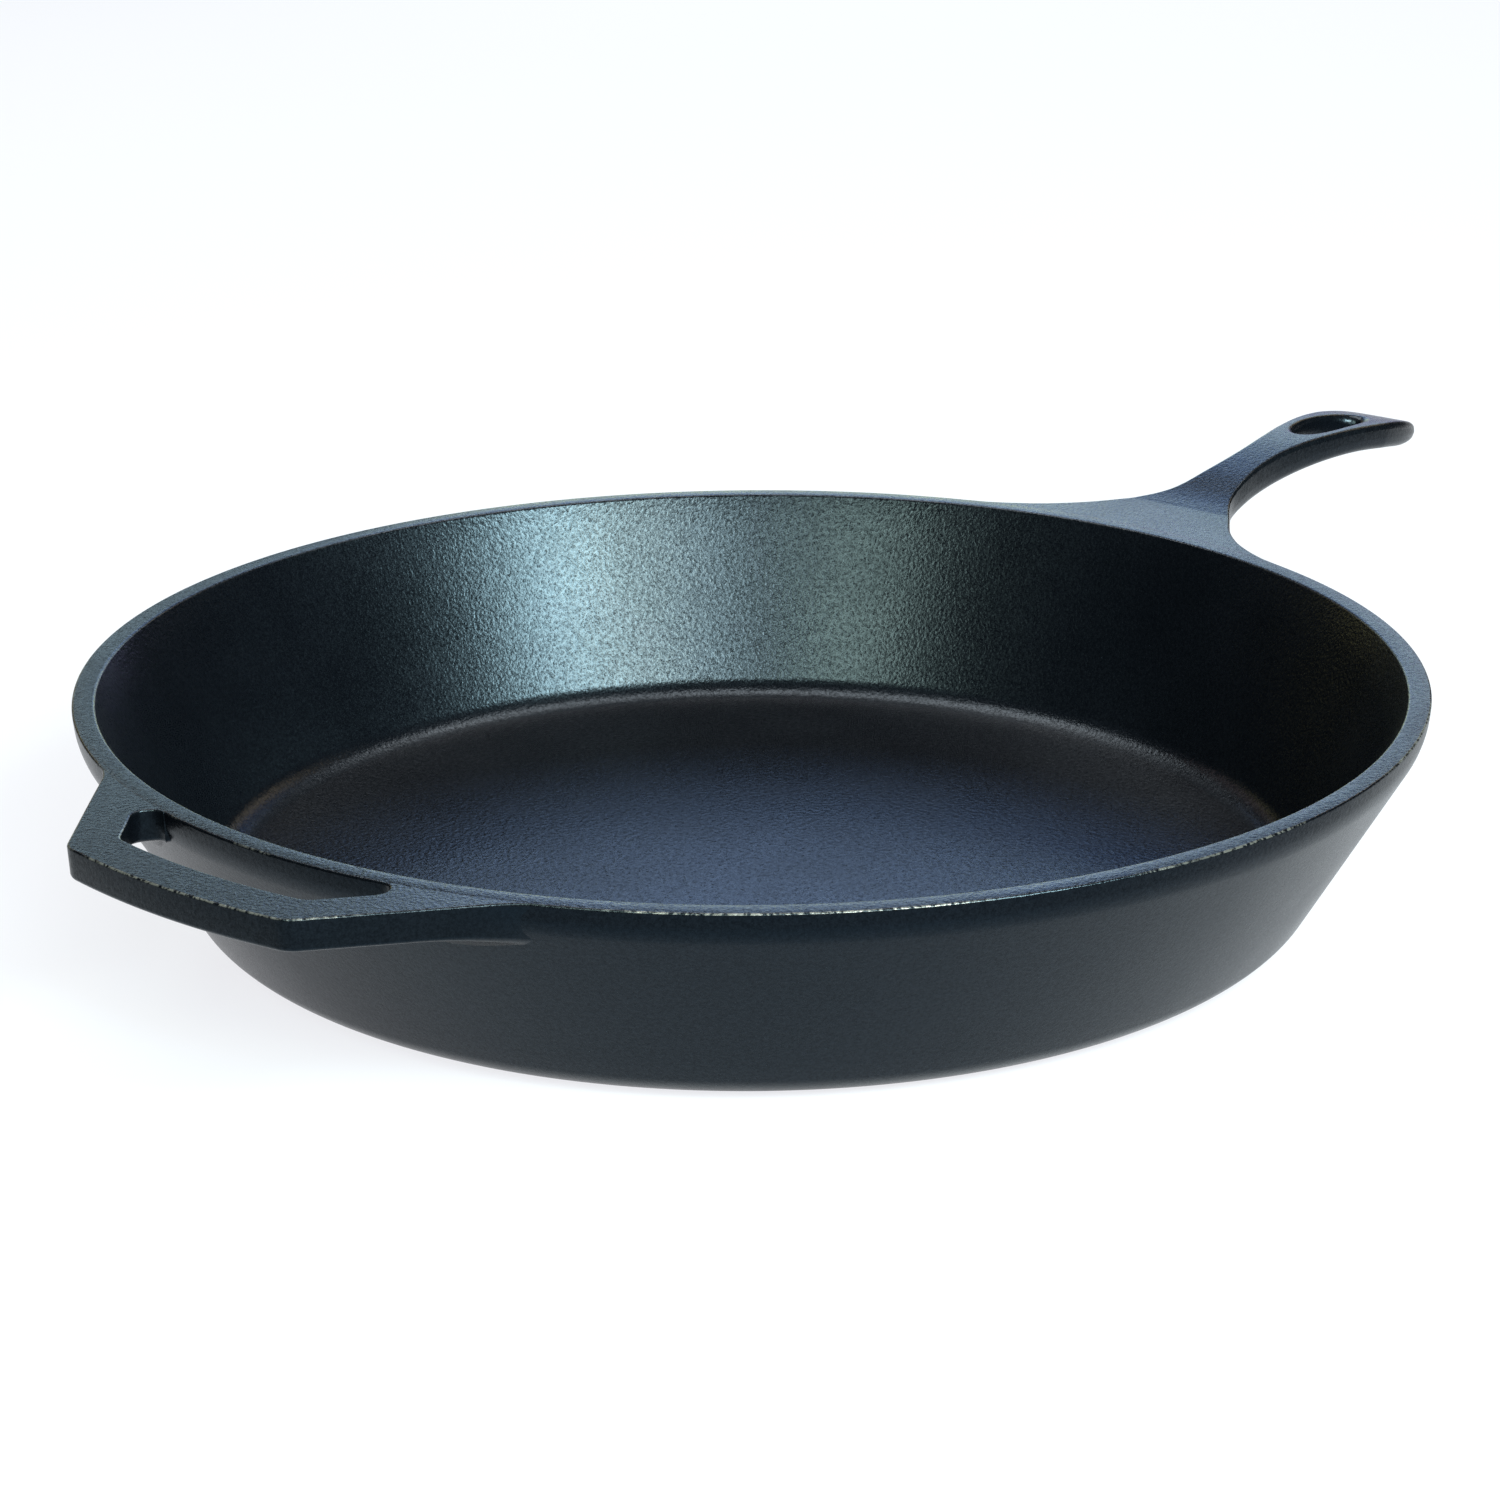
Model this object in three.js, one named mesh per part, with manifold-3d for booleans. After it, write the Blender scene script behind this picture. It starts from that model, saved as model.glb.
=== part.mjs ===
// Large cast iron skillet: a flared pan with a long main handle and a short helper handle opposite it.
//
// The real object is one casting. It is modelled as named regions of that casting, each a closed solid:
// four rings and discs that meet face to face (floor, heel, side wall and rim band), three lengths of the
// main handle and three of the helper handle. Both handles stand 0.3 mm clear of the pan.
//
// Units are millimetres. The origin is the centre of the flat underside, +Z is up, +X points along the
// main handle and -X along the helper handle. The pan is symmetrical about the XZ plane.

import * as THREE from 'three';
import { mergeVertices } from 'three/addons/utils/BufferGeometryUtils.js';
import Module from 'manifold-3d';

const wasm = await Module();
wasm.setup();

// ---- Driving dimensions of the pan ----
const RIM_R = 193.7;            // outer radius of the rim, at its top
const HEIGHT = 64.5;            // rim top above the table
const RIM_WIDTH = 6.4;          // width of the flat top of the rim
const BAND_HEIGHT = 6.5;        // height of the upright band round the rim
const WALL_FOOT_R = 159.7;      // radius at which the outer wall's slope would meet the table
const OUTER_SLOPE = 0.575;      // radius gained per mm of height, outside
const INNER_SLOPE = 0.5;        // radius gained per mm of height, inside
const FLOOR_THICKNESS = 4.6;
const HEEL_R = 14.5;            // rounding between the underside and the outer wall
const COVE_R = 9;               // rounding between the cooking floor and the inner wall
const RIM_EDGE_R = 1;           // rounding of the rim's inner edge
const FLOOR_SEAM_R = 151;       // where the floor disc ends, flat on both faces
const WALL_SEAM_Z = 13;         // where the side wall begins, above both roundings
const AROUND = 96;              // facets round the pan
const ARC_STEPS = 5;            // steps in each rounding of the pan's section
const CLEARANCE = 0.3;          // gap between the pan and either handle

// ---- Driving dimensions of the helper handle ----
const HELPER_REACH = 226;       // radius of its outer edge, an arc about the pan's centre
const HELPER_THICKNESS = 9;     // the plate hangs this far below the rim's top
const HELPER_ROUNDING = 3;      // rounding of the plate's lower edges
const HELPER_CORNER = 10.2;     // degrees off the axis to each outer corner
const HELPER_ARC_END = 9.2;     // degrees off the axis at which the corner's rounding starts
const HELPER_SIDE_SLANT = 39;   // degrees between each flared side and the axis
const HELPER_SIDE_LENGTH = 64;  // from the outer corner to inside the rim
const CORNER_TRIM = 5;          // length of side taken up by the outer corner's rounding
const SLOT_OUTER_R = 212.4;     // radius of the slot's outer side; its inner side is the rim itself
const SLOT_CORNER = 9.2;        // degrees off the axis to the slot's outer corners
const SLOT_CORNER_TRIM = 1.1;   // degrees of that side taken up by each corner's rounding
const SLOT_END_LENGTH = 38;     // from an outer corner to inside the pan, parallel to the flared side
const HELPER_SEAM_Y = 36;       // the bar lies between +36 and -36, an arm beyond each end

// ---- Driving dimensions of the main handle ----
const HANDLE_SEAM_SHAFT = 225;  // where the flared root ends and the narrow shaft begins
const HANDLE_SEAM_END = 281;    // where the shaft ends and the wide end begins
const ROOT_THICKNESS = 9;       // depth of the handle where it leaves the rim
const TIP_CENTRE_X = 325;       // centre of the half ellipse that closes the end
const TIP_LENGTH = 37.2;        // from that centre to the tip
const TIP_HALF_WIDTH = 15.1;
const EYE_X = 312;              // centre of the hanging hole
const EYE_HALF_LENGTH = 18.5;
const EYE_HALF_WIDTH = 7.6;

// Half the handle's width at places along it: the root flares, the shaft is narrow, the end widens.
const HALF_WIDTHS = [
  [184.6, 59], [197.7, 37.6], [217, 22], [233, 12.3], [249, 8.7], [265, 7.8],
  [281, 9.2], [297, 11.8], [313, 14.1], [TIP_CENTRE_X, TIP_HALF_WIDTH],
];
// Height of the handle's upper and lower faces above the rim's top: it rises, then droops to its tip.
const UPPER_LINE = [
  [215, 0], [223, 0.4], [233, 2], [249, 6], [265, 8.8], [281, 10.5],
  [297, 11.1], [313, 10.8], [329, 9.3], [343, 6.7], [363, 1.1],
];
const LOWER_LINE = [
  [363, -3.9], [343, -2.1], [329, 0.1], [313, 1.8], [297, 1.8], [281, 0.3],
  [265, -2], [249, -4.5], [233, -7.3], [217, -ROOT_THICKNESS],
];
const HANDLE_START_X = 175;     // inside the rim, where the pan cuts the handle away

const HANDLE_ROOM = 80;         // more than half the handle's width, and than its rise or fall
const FAR = 500;                // further out than any part of the skillet
const radians = THREE.MathUtils.degToRad;

// ---- Materials: one bare, seasoned iron in slightly different states ----
function iron(color, roughness) {
  return new THREE.MeshStandardMaterial({ color, roughness, metalness: 0.35 });
}
const cookingIron = iron(0x24242a, 0.46);
const outerIron = iron(0x2a2e33, 0.55);
const handleIron = iron(0x2c3036, 0.5);

// ---- Solids ----
/** A manifold-3d solid from a closed three.js geometry. */
function solidOf(geometry) {
  const plain = geometry.clone();
  plain.deleteAttribute('normal');
  plain.deleteAttribute('uv');
  const merged = mergeVertices(plain, 1e-4);
  return new wasm.Manifold(new wasm.Mesh({
    numProp: 3,
    vertProperties: new Float32Array(merged.attributes.position.array),
    triVerts: new Uint32Array(merged.index.array),
  }));
}

/** A three.js geometry from a manifold-3d solid. */
function geometryOf(solid) {
  const mesh = solid.getMesh();
  const geometry = new THREE.BufferGeometry();
  geometry.setAttribute('position', new THREE.BufferAttribute(mesh.vertProperties, mesh.numProp));
  geometry.setIndex(new THREE.BufferAttribute(mesh.triVerts, 1));
  geometry.computeVertexNormals();
  return geometry;
}

/** A closed section of [radius, height] pairs turned about the Z axis. */
function turned(section) {
  const points = section.map(([r, z]) => new THREE.Vector2(r, z));
  return new THREE.LatheGeometry(points, AROUND).rotateX(Math.PI / 2);
}

/** A plan outline raised from one height to another. */
function raised(outline, fromZ, toZ) {
  const options = { depth: toZ - fromZ, bevelEnabled: false, curveSegments: 8 };
  return new THREE.ExtrudeGeometry(outline, options).translate(0, 0, fromZ);
}

/** The same, with every lower edge rounded. It's raised too far at first, and cut flat at toZ. */
function raisedRounded(outline, fromZ, toZ, rounding) {
  const bevel = { bevelEnabled: true, bevelThickness: rounding, bevelSize: rounding };
  const steps = { bevelOffset: -rounding, bevelSegments: 3, curveSegments: 8 };
  const options = { depth: toZ - fromZ, ...bevel, ...steps };
  const tooTall = new THREE.ExtrudeGeometry(outline, options).translate(0, 0, fromZ + rounding);
  return solidOf(tooTall).intersect(block([-FAR, -FAR, 0], [FAR, FAR, toZ]));
}

/** A box between two corners, for parting one length of a handle from the next. */
function block([x0, y0, z0], [x1, y1, z1]) {
  const box = new THREE.BoxGeometry(x1 - x0, y1 - y0, z1 - z0);
  return solidOf(box.translate((x0 + x1) / 2, (y0 + y1) / 2, (z0 + z1) / 2));
}

function named(name, geometry, material) {
  const mesh = new THREE.Mesh(geometry, material);
  mesh.name = name;
  return mesh;
}

// ---- The pan's section ----
const outerWallR = (z) => WALL_FOOT_R + OUTER_SLOPE * z;
const innerWallR = (z) => RIM_R - RIM_WIDTH - INNER_SLOPE * (HEIGHT - z);

/** Points on an arc in the section, from one angle to another in radians. */
function sectionArc(r, z, radius, from, to, steps) {
  const at = (i) => from + ((to - from) * i) / steps;
  return Array.from({ length: steps + 1 }, (_, i) => [
    r + radius * Math.cos(at(i)),
    z + radius * Math.sin(at(i)),
  ]);
}

/** The rounding between the underside and the outer wall, from the table upwards. */
function heelArc() {
  const centreR = outerWallR(HEEL_R) - HEEL_R * Math.hypot(1, OUTER_SLOPE);
  return sectionArc(centreR, HEEL_R, HEEL_R, -Math.PI / 2, -Math.atan(OUTER_SLOPE), ARC_STEPS);
}

/** The rounding between the inner wall and the cooking floor, from the wall downwards. */
function coveArc() {
  const centreZ = FLOOR_THICKNESS + COVE_R;
  const centreR = innerWallR(centreZ) - COVE_R * Math.hypot(1, INNER_SLOPE);
  return sectionArc(centreR, centreZ, COVE_R, -Math.atan(INNER_SLOPE), -Math.PI / 2, ARC_STEPS);
}

const bandZ = HEIGHT - BAND_HEIGHT;

const floorSection = [
  [0, 0], [FLOOR_SEAM_R, 0], [FLOOR_SEAM_R, FLOOR_THICKNESS], [0, FLOOR_THICKNESS],
];
const heelSection = [
  [FLOOR_SEAM_R, 0], ...heelArc(), [outerWallR(WALL_SEAM_Z), WALL_SEAM_Z],
  [innerWallR(WALL_SEAM_Z), WALL_SEAM_Z], ...coveArc(), [FLOOR_SEAM_R, FLOOR_THICKNESS],
  [FLOOR_SEAM_R, 0],
];
const wallSection = [
  [outerWallR(WALL_SEAM_Z), WALL_SEAM_Z], [outerWallR(bandZ), bandZ],
  [innerWallR(bandZ), bandZ], [innerWallR(WALL_SEAM_Z), WALL_SEAM_Z],
  [outerWallR(WALL_SEAM_Z), WALL_SEAM_Z],
];
const rimInnerR = RIM_R - RIM_WIDTH;
const rimSection = [
  [outerWallR(bandZ), bandZ], [RIM_R, HEIGHT], [rimInnerR + RIM_EDGE_R, HEIGHT],
  [rimInnerR, HEIGHT - RIM_EDGE_R], [innerWallR(bandZ), bandZ], [outerWallR(bandZ), bandZ],
];

// The room that the pan takes, with the clearance added: both handles are cut back by it.
const panRoom = solidOf(turned([
  [0, -1], [outerWallR(0) + CLEARANCE, -1], [outerWallR(bandZ) + CLEARANCE, bandZ],
  [RIM_R + CLEARANCE, HEIGHT], [RIM_R + CLEARANCE, HEIGHT + 1], [0, HEIGHT + 1],
]));

// ---- The helper handle ----
const polar = (radius, degrees) => new THREE.Vector2(
  radius * Math.cos(radians(degrees)),
  radius * Math.sin(radians(degrees)),
);

/** The plate's outline with its axis along +X: flared sides, round corners and an arc between them. */
function helperOutline() {
  const corner = polar(HELPER_REACH, HELPER_CORNER);
  const inward = polar(-1, -HELPER_SIDE_SLANT);
  const side = corner.clone().addScaledVector(inward, CORNER_TRIM);
  const root = corner.clone().addScaledVector(inward, HELPER_SIDE_LENGTH);
  const arcEnd = radians(HELPER_ARC_END);
  const outline = new THREE.Shape();
  outline.moveTo(root.x, -root.y);
  outline.lineTo(side.x, -side.y);
  outline.quadraticCurveTo(corner.x, -corner.y, ...polar(HELPER_REACH, -HELPER_ARC_END).toArray());
  outline.absarc(0, 0, HELPER_REACH, -arcEnd, arcEnd, false);
  outline.quadraticCurveTo(corner.x, corner.y, side.x, side.y);
  outline.lineTo(root.x, root.y);
  outline.closePath();
  return outline;
}

/** The finger slot: an arc along the bar, and ends that slant as the plate's sides do. */
function slotOutline() {
  const corner = polar(SLOT_OUTER_R, SLOT_CORNER);
  const arcEnd = SLOT_CORNER - SLOT_CORNER_TRIM;
  const inward = polar(-1, -HELPER_SIDE_SLANT);
  const roundEnd = corner.clone().addScaledVector(inward, CORNER_TRIM);
  const inner = corner.clone().addScaledVector(inward, SLOT_END_LENGTH);
  const slot = new THREE.Path();
  slot.moveTo(inner.x, -inner.y);
  slot.lineTo(roundEnd.x, -roundEnd.y);
  slot.quadraticCurveTo(corner.x, -corner.y, ...polar(SLOT_OUTER_R, -arcEnd).toArray());
  slot.absarc(0, 0, SLOT_OUTER_R, -radians(arcEnd), radians(arcEnd), false);
  slot.quadraticCurveTo(corner.x, corner.y, roundEnd.x, roundEnd.y);
  slot.lineTo(inner.x, inner.y);
  slot.closePath();
  return slot;
}

function helperPlate() {
  const outline = helperOutline();
  outline.holes.push(slotOutline());
  const plate = raisedRounded(outline, HEIGHT - HELPER_THICKNESS, HEIGHT, HELPER_ROUNDING);
  return plate.rotate([0, 0, 180]).subtract(panRoom);
}

// ---- The main handle ----
const vectors = (pairs) => pairs.map(([x, y]) => new THREE.Vector2(x, y));

/** The handle seen from above, with the hanging hole. */
function handlePlan() {
  const outline = new THREE.Shape();
  const [rootX, rootY] = HALF_WIDTHS[0];
  const farSide = vectors(HALF_WIDTHS.slice(1));
  const nearSide = vectors(HALF_WIDTHS.map(([x, y]) => [x, -y]).reverse().slice(1));
  outline.moveTo(HANDLE_START_X, rootY);
  outline.lineTo(rootX, rootY);
  outline.splineThru(farSide);
  outline.absellipse(TIP_CENTRE_X, 0, TIP_LENGTH, TIP_HALF_WIDTH, Math.PI / 2, -Math.PI / 2, true, 0);
  outline.splineThru(nearSide);
  outline.lineTo(HANDLE_START_X, -rootY);
  outline.closePath();
  const eye = new THREE.Path();
  eye.absellipse(EYE_X, 0, EYE_HALF_LENGTH, EYE_HALF_WIDTH, 0, 2 * Math.PI, false, 0);
  outline.holes.push(eye);
  return outline;
}

/** The handle seen from the side, as [distance along it, height above the rim's top]. */
function handleProfile() {
  const profile = new THREE.Shape();
  profile.moveTo(HANDLE_START_X, 0);
  profile.lineTo(...UPPER_LINE[0]);
  profile.splineThru(vectors(UPPER_LINE.slice(1)));
  profile.lineTo(...LOWER_LINE[0]);
  profile.splineThru(vectors(LOWER_LINE.slice(1)));
  profile.lineTo(HANDLE_START_X, -ROOT_THICKNESS);
  profile.closePath();
  return profile;
}

/** The whole handle: its plan raised through its side profile, cut back to clear the pan. */
function handleBody() {
  const plan = raised(handlePlan(), HEIGHT - HANDLE_ROOM, HEIGHT + HANDLE_ROOM);
  const side = raised(handleProfile(), -HANDLE_ROOM, HANDLE_ROOM).rotateX(Math.PI / 2);
  return solidOf(plan).intersect(solidOf(side.translate(0, 0, HEIGHT))).subtract(panRoom);
}

// ---- Assembly ----
const helper = helperPlate();
const helperBar = helper.intersect(block([-FAR, -HELPER_SEAM_Y, 0], [0, HELPER_SEAM_Y, FAR]));
const helperArm = (side) => {
  const ys = [side * HELPER_SEAM_Y, side * FAR].sort((a, b) => a - b);
  return helper.intersect(block([-FAR, ys[0], 0], [0, ys[1], FAR]));
};

const handle = handleBody();
const handleLength = (fromX, toX) => handle.intersect(block([fromX, -FAR, 0], [toX, FAR, FAR]));

const skillet = new THREE.Group();
skillet.add(
  named('pan_floor', turned(floorSection), cookingIron),
  named('heel_ring', turned(heelSection), outerIron),
  named('side_wall', turned(wallSection), outerIron),
  named('rim_band', turned(rimSection), outerIron),
  named('helper_bar', geometryOf(helperBar), handleIron),
  named('helper_arm_left', geometryOf(helperArm(-1)), handleIron),
  named('helper_arm_right', geometryOf(helperArm(1)), handleIron),
  named('handle_root', geometryOf(handleLength(0, HANDLE_SEAM_SHAFT)), handleIron),
  named('handle_shaft', geometryOf(handleLength(HANDLE_SEAM_SHAFT, HANDLE_SEAM_END)), handleIron),
  named('handle_end', geometryOf(handleLength(HANDLE_SEAM_END, FAR)), handleIron),
);

export default skillet;
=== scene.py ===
"""Looks of a large cast iron skillet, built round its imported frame.

The skillet is one sand casting. Its visible skin is made here as six closed pieces that meet
inside the iron or along flat faces, so that no seam shows: cooking floor, heel, side wall, rim,
helper handle and main handle. All lengths are in metres unless a comment says otherwise, in the
frame's own axes: +Z up and +X along the main handle.
"""

import logging
import math
from collections.abc import Callable
from dataclasses import dataclass, field
from enum import Enum

import bmesh
import bpy
import numpy as np
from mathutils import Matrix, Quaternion, Vector


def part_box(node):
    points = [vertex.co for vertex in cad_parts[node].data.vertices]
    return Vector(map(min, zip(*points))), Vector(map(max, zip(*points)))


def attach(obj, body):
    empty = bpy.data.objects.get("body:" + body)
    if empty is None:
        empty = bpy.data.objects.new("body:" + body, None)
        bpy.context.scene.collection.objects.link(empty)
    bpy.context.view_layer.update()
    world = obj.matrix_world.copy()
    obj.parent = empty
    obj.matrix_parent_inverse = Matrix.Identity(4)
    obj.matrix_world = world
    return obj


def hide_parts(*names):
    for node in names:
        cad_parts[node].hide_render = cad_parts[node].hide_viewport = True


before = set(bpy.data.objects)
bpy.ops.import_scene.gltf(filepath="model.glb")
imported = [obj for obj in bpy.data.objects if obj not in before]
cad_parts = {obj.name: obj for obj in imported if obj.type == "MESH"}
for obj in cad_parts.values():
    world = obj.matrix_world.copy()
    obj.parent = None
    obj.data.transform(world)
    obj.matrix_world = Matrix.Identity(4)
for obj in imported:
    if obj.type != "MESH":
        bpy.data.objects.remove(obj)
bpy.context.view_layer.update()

log = logging.getLogger("skillet")

Socket = bpy.types.NodeSocket
Colour = tuple[float, float, float]
Span = tuple[float, float]

MM = 0.001
BODY = "root"

# Distances: what counts as one point, as on a corner's ring, and as on a cutting line.
WELD = 1e-7
ON_RING = 0.02 * MM
ON_CUT = 0.01 * MM

SHARP_ANGLE = math.radians(38)

# How far inside the rim's face a handle ends, and how much coarser its outline is in there.
ROOT_DEPTH = 8 * MM
HIDDEN_COARSENESS = 2

# Wear of crisp edges: radii worn through and left whole, least upward look, and the mark for none.
WEAR = "edge_wear"
WORN_RADII = (0.5 * MM, 1.1 * MM)
WORN_LIFT = 0.3
SHELTERED = -1.0

# Skin by how far up it looks: its share of the top's finish, and painted shade, its gloss dimmed on
# sides and undersides against the top's.
SKYWARD = "skyward"
SKYWARD_GAIN = 2
PAINTED_SIDE_SHADE = "painted_side_shade"
# Painted shade: a face's gloss scaled by how far it looks up, dimmest on the sides.
PAINTED_SIDE_SHADE_BY_LIFT = ((-1.0, 0.8), (-0.4, 0.8), (-0.12, 0.5), (0.12, 0.5), (0.35, 1.0), (1.0, 1.0))
SHELTERED_GRAIN = 0.35

# Parts of a noise's range that patterns are cut from.
WHOLE = (0.0, 1.0)
WIDE = (0.3, 0.7)
NARROW = (0.35, 0.65)
WORN_GRAIN = (0.42, 0.62)
WORN_CLOUD = (0.45, 0.58)

BARE_IRON = (0.22, 0.20, 0.17)
BARE_ROUGHNESS = 0.3
VARNISH_IOR = 1.5


class Slot(Enum):
    """The record's material slots."""

    COOKING = "cooking_surface"
    PAN = "pan_iron"
    HANDLE = "handle_iron"


# ---------------------------------------------------------------- finishes


class Sum(Enum):
    """Ways to combine two values."""

    ADD = "ADD"
    MULTIPLY = "MULTIPLY"


class Kind(Enum):
    """What a mixture is of."""

    VALUES = "FLOAT"
    COLOURS = "RGBA"


class Nodes:
    """A new material's node tree, with short ways to add to it."""

    def __init__(self, tree: bpy.types.NodeTree) -> None:
        """Keeps the tree and its surface shader.

        Args:
            tree: The material's node tree.
        """
        self.tree = tree
        self.surface = tree.nodes["Principled BSDF"].inputs

    def feed(self, socket: Socket, value: Socket | float | tuple[float, ...]) -> None:
        """Links a socket to a node's value, or sets it to a plain one.

        Args:
            socket: The socket to feed.
            value: What it gets.
        """
        if isinstance(value, bpy.types.NodeSocket):
            self.tree.links.new(value, socket)
        else:
            socket.default_value = value

    def attribute(self, name: str) -> Socket:
        """Reads an attribute of the piece.

        Args:
            name: The attribute's name.

        Returns:
            Its value.
        """
        attribute = self.tree.nodes.new("ShaderNodeAttribute")
        attribute.attribute_name = name
        return attribute.outputs["Fac"]

    def noise(self, scale: float, detail: float, roughness: float = 0.55) -> Socket:
        """Adds a noise texture on Object coordinates.

        Args:
            scale: Noise cells per metre.
            detail: Octaves of finer noise.
            roughness: Strength of each octave against the one before.

        Returns:
            The noise's value, about 0.5 on average.
        """
        place = self.tree.nodes.new("ShaderNodeTexCoord").outputs["Object"]
        noise = self.tree.nodes.new("ShaderNodeTexNoise")
        inputs = {"Scale": scale, "Detail": detail, "Roughness": roughness, "Vector": place}
        for name, value in inputs.items():
            self.feed(noise.inputs[name], value)
        return noise.outputs["Fac"]

    def mapped(self, value: Socket, source: Span, target: Span) -> Socket:
        """Maps a value's range to another, clamped.

        Args:
            value: The value to map.
            source: Lowest and highest value expected.
            target: What those two become.

        Returns:
            The mapped value.
        """
        ramp = self.tree.nodes.new("ShaderNodeMapRange")
        for name, number in zip(("From Min", "From Max", "To Min", "To Max"), (*source, *target)):
            self.feed(ramp.inputs[name], number)
        self.feed(ramp.inputs["Value"], value)
        return ramp.outputs["Result"]

    def maths(self, operation: Sum, first: Socket, second: Socket) -> Socket:
        """Combines two values.

        Args:
            operation: How to combine them.
            first: Its first value.
            second: Its second value.

        Returns:
            The result.
        """
        node = self.tree.nodes.new("ShaderNodeMath")
        node.operation = operation.value
        self.feed(node.inputs[0], first)
        self.feed(node.inputs[1], second)
        return node.outputs[0]

    def mix(self, factor: Socket, first: Socket | float | Colour, second: Socket | float | Colour,
            kind: Kind = Kind.VALUES) -> Socket:
        """Mixes two values or colours.

        Args:
            factor: Share of the second.
            first: What shows where the factor is 0.
            second: What shows where the factor is 1.
            kind: Whether they are values or colours.

        Returns:
            The mixture.
        """
        node = self.tree.nodes.new("ShaderNodeMix")
        node.data_type = kind.value
        for name, value in (("Factor", factor), ("A", first), ("B", second)):
            self.feed(node.inputs[name], (*value, 1.0) if isinstance(value, tuple) else value)
        return node.outputs["Result"]

    def bump(self, height: Socket, distance: float, strength: Socket,
             under: Socket | None = None) -> Socket:
        """Raises the skin by a pattern.

        Args:
            height: The pattern.
            distance: How high it rises.
            strength: Share of that height that shows, from place to place.
            under: The bumped normal that it lies over, if any.

        Returns:
            The bumped normal.
        """
        node = self.tree.nodes.new("ShaderNodeBump")
        self.feed(node.inputs["Strength"], strength)
        self.feed(node.inputs["Distance"], distance)
        self.feed(node.inputs["Height"], height)
        if under is not None:
            self.feed(node.inputs["Normal"], under)
        return node.outputs["Normal"]


@dataclass(frozen=True)
class Skin:
    """The patterns that a finish is mixed from.

    Attributes:
        grain: The sand-cast pebbles.
        fine: A finer tooth over them.
        cloud: Slow changes from place to place.
        worn: How far bare iron shows.
        skyward: How far up the skin looks, from 0 for down to 1 for up.
    """

    grain: Socket
    fine: Socket
    cloud: Socket
    worn: Socket
    skyward: Socket


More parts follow.
